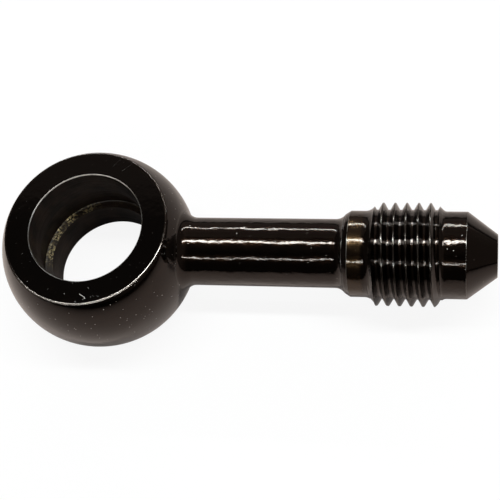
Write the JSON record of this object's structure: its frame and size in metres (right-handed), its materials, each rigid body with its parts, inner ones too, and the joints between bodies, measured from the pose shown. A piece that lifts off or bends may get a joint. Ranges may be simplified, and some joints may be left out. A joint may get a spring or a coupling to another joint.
{
  "type": "banjo fitting",
  "caption": "One-piece banjo fitting: a flattened-ball eye for a banjo bolt, a plain neck, a collar and a threaded stem with a sealing cone.",
  "frame": {"origin": "centre of the bore, halfway between the two sealing faces", "axes": "+Z along the bore's axis, towards the upper sealing face; +X along the neck, towards the cone"},
  "size_m": [0.0462, 0.0184, 0.0102],
  "materials": {
    "black_plated_steel": "gloss black plating"
  },
  "bodies": {
    "root": {"banjo_fitting": "black_plated_steel"}
  },
  "joints": []
}
